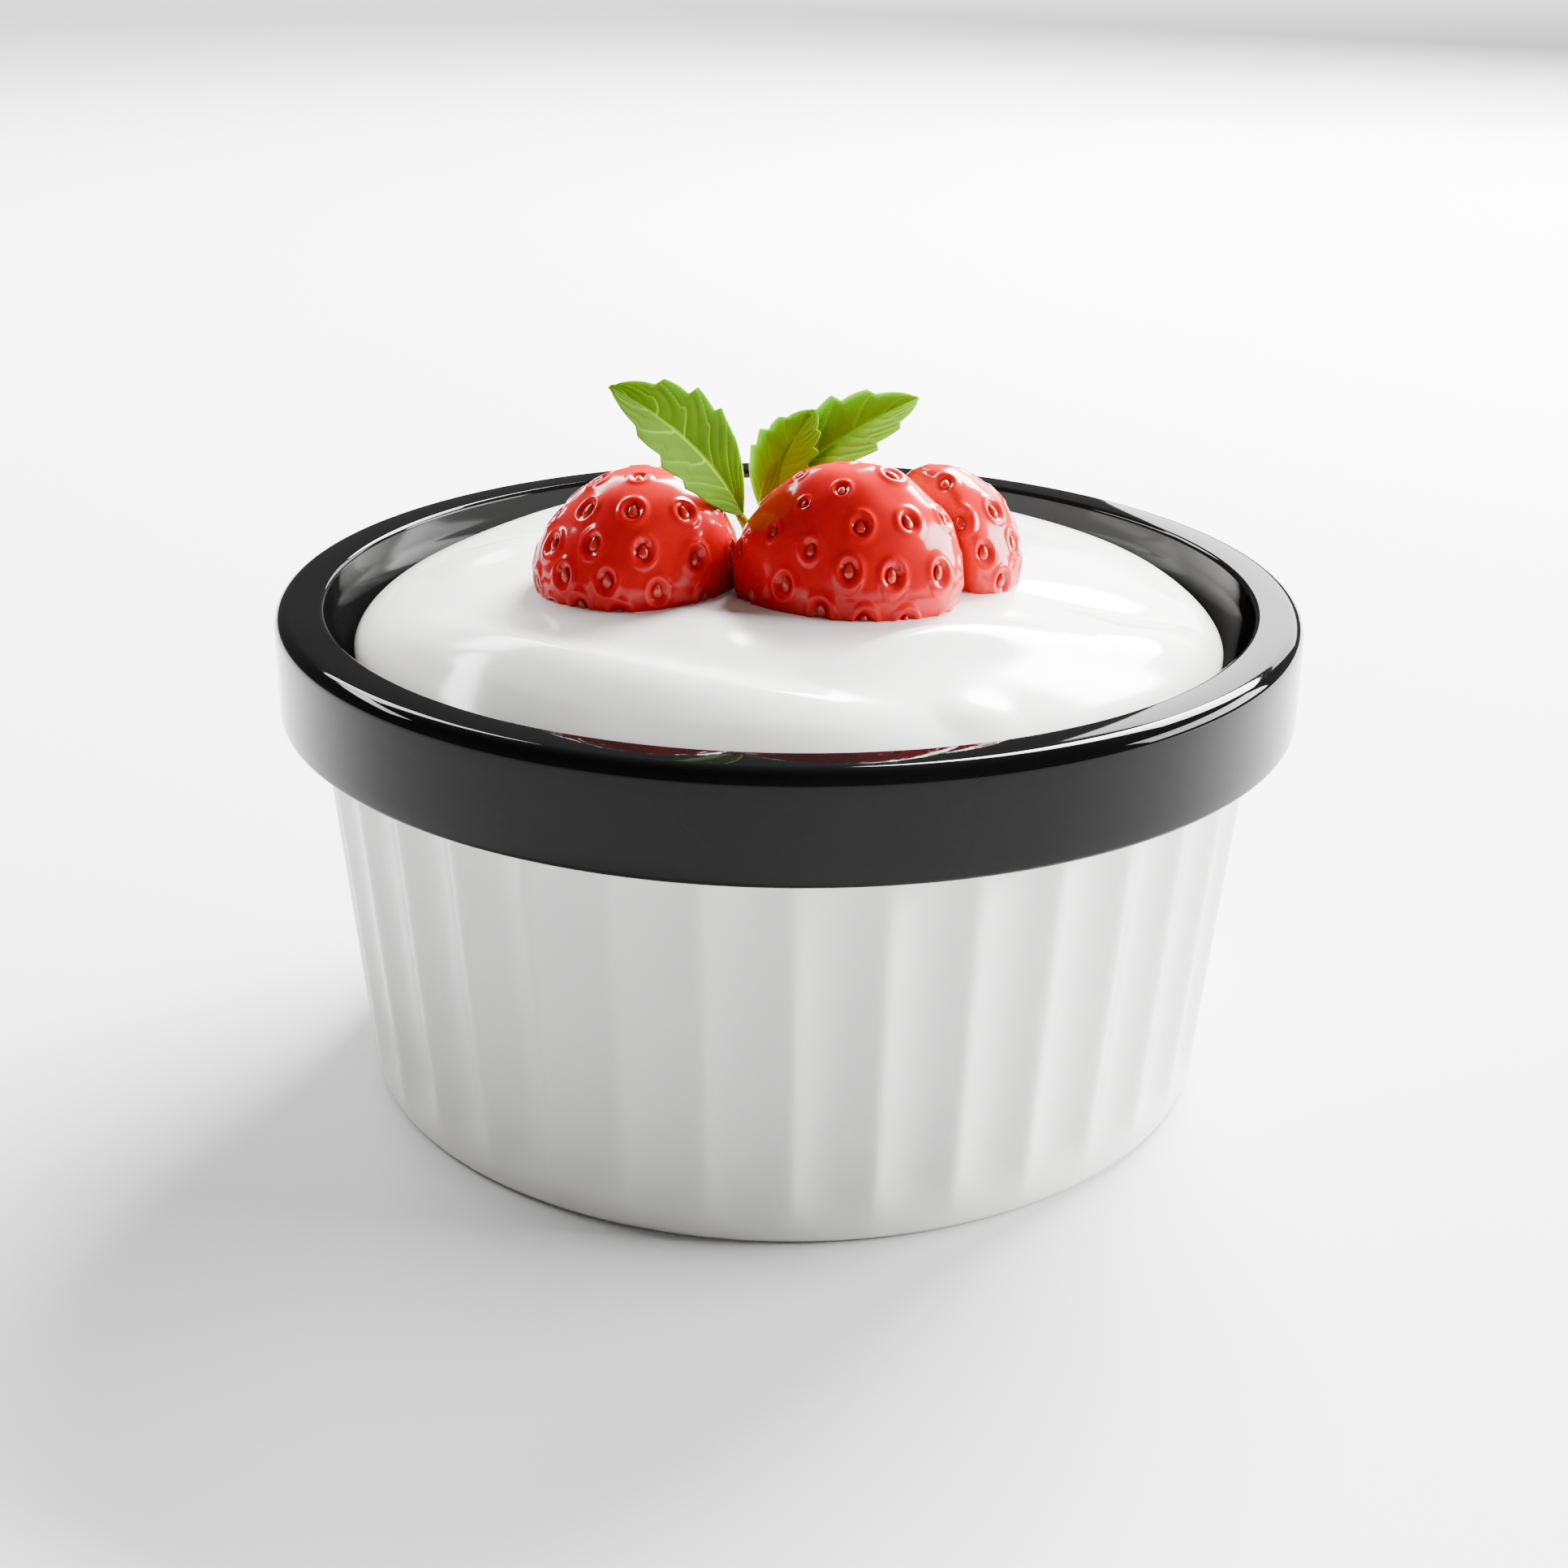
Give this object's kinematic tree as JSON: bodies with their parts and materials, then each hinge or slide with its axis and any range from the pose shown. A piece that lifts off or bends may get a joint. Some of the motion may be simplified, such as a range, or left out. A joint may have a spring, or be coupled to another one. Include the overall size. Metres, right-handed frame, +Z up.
{
  "type": "bowl of yogurt",
  "caption": "Fluted white ramekin with a black glazed rim band and inside, filled with domed white yogurt and topped with strawberries and a mint sprig.",
  "frame": {"origin": "centre of the foot ring's underside, on the floor the bowl rests on", "axes": "+Z up along the bowl's axis, -Y towards the strawberries at the front, +X to their right"},
  "size_m": [0.11, 0.11, 0.0789],
  "materials": {
    "bowl_glaze": "glossy white outside, glossy black on the rim band and inside",
    "yogurt": null,
    "strawberry": null,
    "mint": null
  },
  "bodies": {
    "root": {"bowl": "bowl_glaze", "yogurt": "yogurt", "strawberry_left": "strawberry", "strawberry_front": "strawberry", "strawberry_back": "strawberry", "mint_sprig": "mint"}
  },
  "joints": []
}
